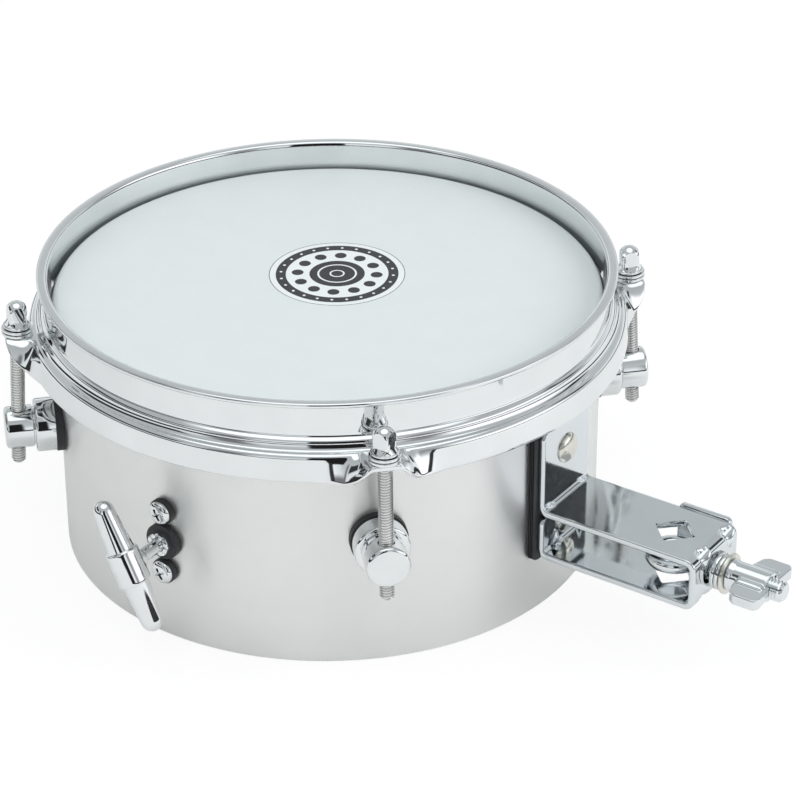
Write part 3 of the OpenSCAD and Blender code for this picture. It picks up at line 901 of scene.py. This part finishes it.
# Patches of the sky: angle from the camera's side (+ to its right), half width, lowest and highest sine of
# elevation, brightness, and softness of the edges.
CARDS = [
    (1.25, 0.4, 0.1, 0.5, 1.5, 0.15),
    (-0.64, 0.14, 0.05, 0.6, 0.2, 0.1),
    (0.62, 0.12, 0.05, 0.5, 0.3, 0.1),
    (0.0, 3.2, -0.03, 0.1, 0.04, 0.02),
    (-1.45, 0.75, -0.03, 0.2, 0.03, 0.03),
    (0.08, 0.2, -0.1, 0.64, 0.015, 0.02),
    (-1.5, 0.5, 0.36, 0.62, 0.04, 0.03),
    (1.94, 0.11, 0.3, 0.68, 0.04, 0.03),
]


def sky():
    """White to the camera; to everything else a pale tent with a bright top and dark and light cards."""
    world = bpy.data.worlds.new("tent")
    bpy.context.scene.world = world
    world.use_nodes = True
    tree = world.node_tree
    tree.nodes.clear()
    where = tree.nodes.new("ShaderNodeTexCoord")
    turned = tree.nodes.new("ShaderNodeVectorRotate")
    turned.rotation_type = "Z_AXIS"
    turned.inputs["Angle"].default_value = -math.atan2(CAMERA_BACK.y, CAMERA_BACK.x)
    link(tree, where.outputs["Generated"], turned.inputs["Vector"])
    split = tree.nodes.new("ShaderNodeSeparateXYZ")
    link(tree, turned.outputs["Vector"], split.inputs["Vector"])
    across = tree.nodes.new("ShaderNodeMath")
    across.operation = "ARCTAN2"
    link(tree, split.outputs["Y"], across.inputs[0])
    link(tree, split.outputs["X"], across.inputs[1])
    height = split.outputs["Z"]
    ramp = tree.nodes.new("ShaderNodeMapRange")
    ramp.inputs["From Min"].default_value = -1
    ramp.inputs["From Max"].default_value = 1
    link(tree, height, ramp.inputs["Value"])
    tone = tree.nodes.new("ShaderNodeValToRGB")
    stops = [
        (0.0, 0.75), (0.5, 0.75), (0.56, 1.0), (0.66, 0.85), (0.73, 0.6), (0.79, 0.58), (0.93, 0.5),
        (0.955, 1.3), (1.0, 1.4),
    ]
    while len(tone.color_ramp.elements) < len(stops):
        tone.color_ramp.elements.new(0.5)
    for element, (position, value) in zip(tone.color_ramp.elements, stops):
        element.position = position
        element.color = (value * 0.935, value * 0.98, value, 1)
    link(tree, ramp.outputs["Result"], tone.inputs["Fac"])
    colour = tone.outputs["Color"]
    for middle, half, low, high, value, soft in CARDS:
        mix = tree.nodes.new("ShaderNodeMix")
        mix.data_type = "RGBA"
        patch = card(tree, across.outputs["Value"], height, middle, half, low, high, soft)
        link(tree, patch, mix.inputs["Factor"])
        link(tree, colour, mix.inputs["A"])
        mix.inputs["B"].default_value = (value, value, value * 1.05, 1)
        colour = mix.outputs["Result"]
    lit = tree.nodes.new("ShaderNodeBackground")
    link(tree, colour, lit.inputs["Color"])
    plain = tree.nodes.new("ShaderNodeBackground")
    plain.inputs["Color"].default_value = (1, 1, 1, 1)
    path = tree.nodes.new("ShaderNodeLightPath")
    choose = tree.nodes.new("ShaderNodeMixShader")
    link(tree, path.outputs["Is Camera Ray"], choose.inputs["Fac"])
    link(tree, lit.outputs["Background"], choose.inputs[1])
    link(tree, plain.outputs["Background"], choose.inputs[2])
    out = tree.nodes.new("ShaderNodeOutputWorld")
    link(tree, choose.outputs["Shader"], out.inputs["Surface"])


def softbox(name, at, size, power):
    """A soft light that itself is not seen in the metal."""
    light = bpy.data.lights.new(name, "AREA")
    light.shape = "SQUARE"
    light.size = size
    light.energy = power
    obj = bpy.data.objects.new(name, light)
    obj.location = at
    obj.rotation_euler = (Vector((0, 0, 0.06)) - Vector(at)).to_track_quat("-Z", "Y").to_euler()
    obj.visible_glossy = False
    bpy.context.scene.collection.objects.link(obj)


def floor_paint():
    """Matt pale paint that looks lighter to the camera than it does in the metal's reflections."""
    paint = finish("floor_paint", (0.76, 0.76, 0.755), 0.0, 0.7, 40, 0.0, vary=0.004)
    tree = paint.node_tree
    shader = tree.nodes["Principled BSDF"]
    glow = tree.nodes.new("ShaderNodeEmission")
    glow.inputs["Color"].default_value = (1, 1, 1, 1)
    glow.inputs["Strength"].default_value = 1.04
    path = tree.nodes.new("ShaderNodeLightPath")
    share = tree.nodes.new("ShaderNodeMath")
    share.operation = "MULTIPLY"
    share.inputs[1].default_value = 0.84
    link(tree, path.outputs["Is Camera Ray"], share.inputs[0])
    mix = tree.nodes.new("ShaderNodeMixShader")
    link(tree, share.outputs["Value"], mix.inputs["Fac"])
    link(tree, shader.outputs["BSDF"], mix.inputs[1])
    link(tree, glow.outputs["Emission"], mix.inputs[2])
    link(tree, mix.outputs["Shader"], tree.nodes["Material Output"].inputs["Surface"])
    return paint


def studio():
    sky()
    softbox("key", (0.7, -1.4, 1.9), 1.4, 17)
    softbox("fill", (1.7, 0.7, 1.4), 1.4, 22)
    softbox("side", (-1.6, -0.4, 1.6), 1.4, 8)
    mesh = bpy.data.meshes.new("floor")
    far = 3.0
    corners = [(x, y, -0.0004) for x, y in box_outline(-far, -far, far, far)]
    mesh.from_pydata(corners, [], [(0, 1, 2, 3)])
    floor = bpy.data.objects.new("floor", mesh)
    bpy.context.scene.collection.objects.link(floor)
    floor.data.materials.append(floor_paint())


def camera():
    lens = bpy.data.cameras.new("camera")
    lens.lens = 137.98
    lens.sensor_width = 36
    obj = bpy.data.objects.new("camera", lens)
    bpy.context.scene.collection.objects.link(obj)
    axes = Matrix((CAMERA_RIGHT, CAMERA_UP, CAMERA_BACK)).transposed().to_4x4()
    obj.matrix_world = Matrix.Translation(CAMERA_AT) @ axes
    bpy.context.scene.camera = obj


# ---- build ----

counterhoop()
head()
badge()
for side in SIDES:
    tension_rod(side)
    lug(side)
bracket()
bracket_gasket()
bracket_bolts()
clamp_spring()
eye_bolt()
wing_nut()
handle()
bushing()
cross_screws()
rubber_washers()
snare_wires()
plain_finishes()
studio()
camera()
bpy.context.scene.view_settings.view_transform = "Standard"
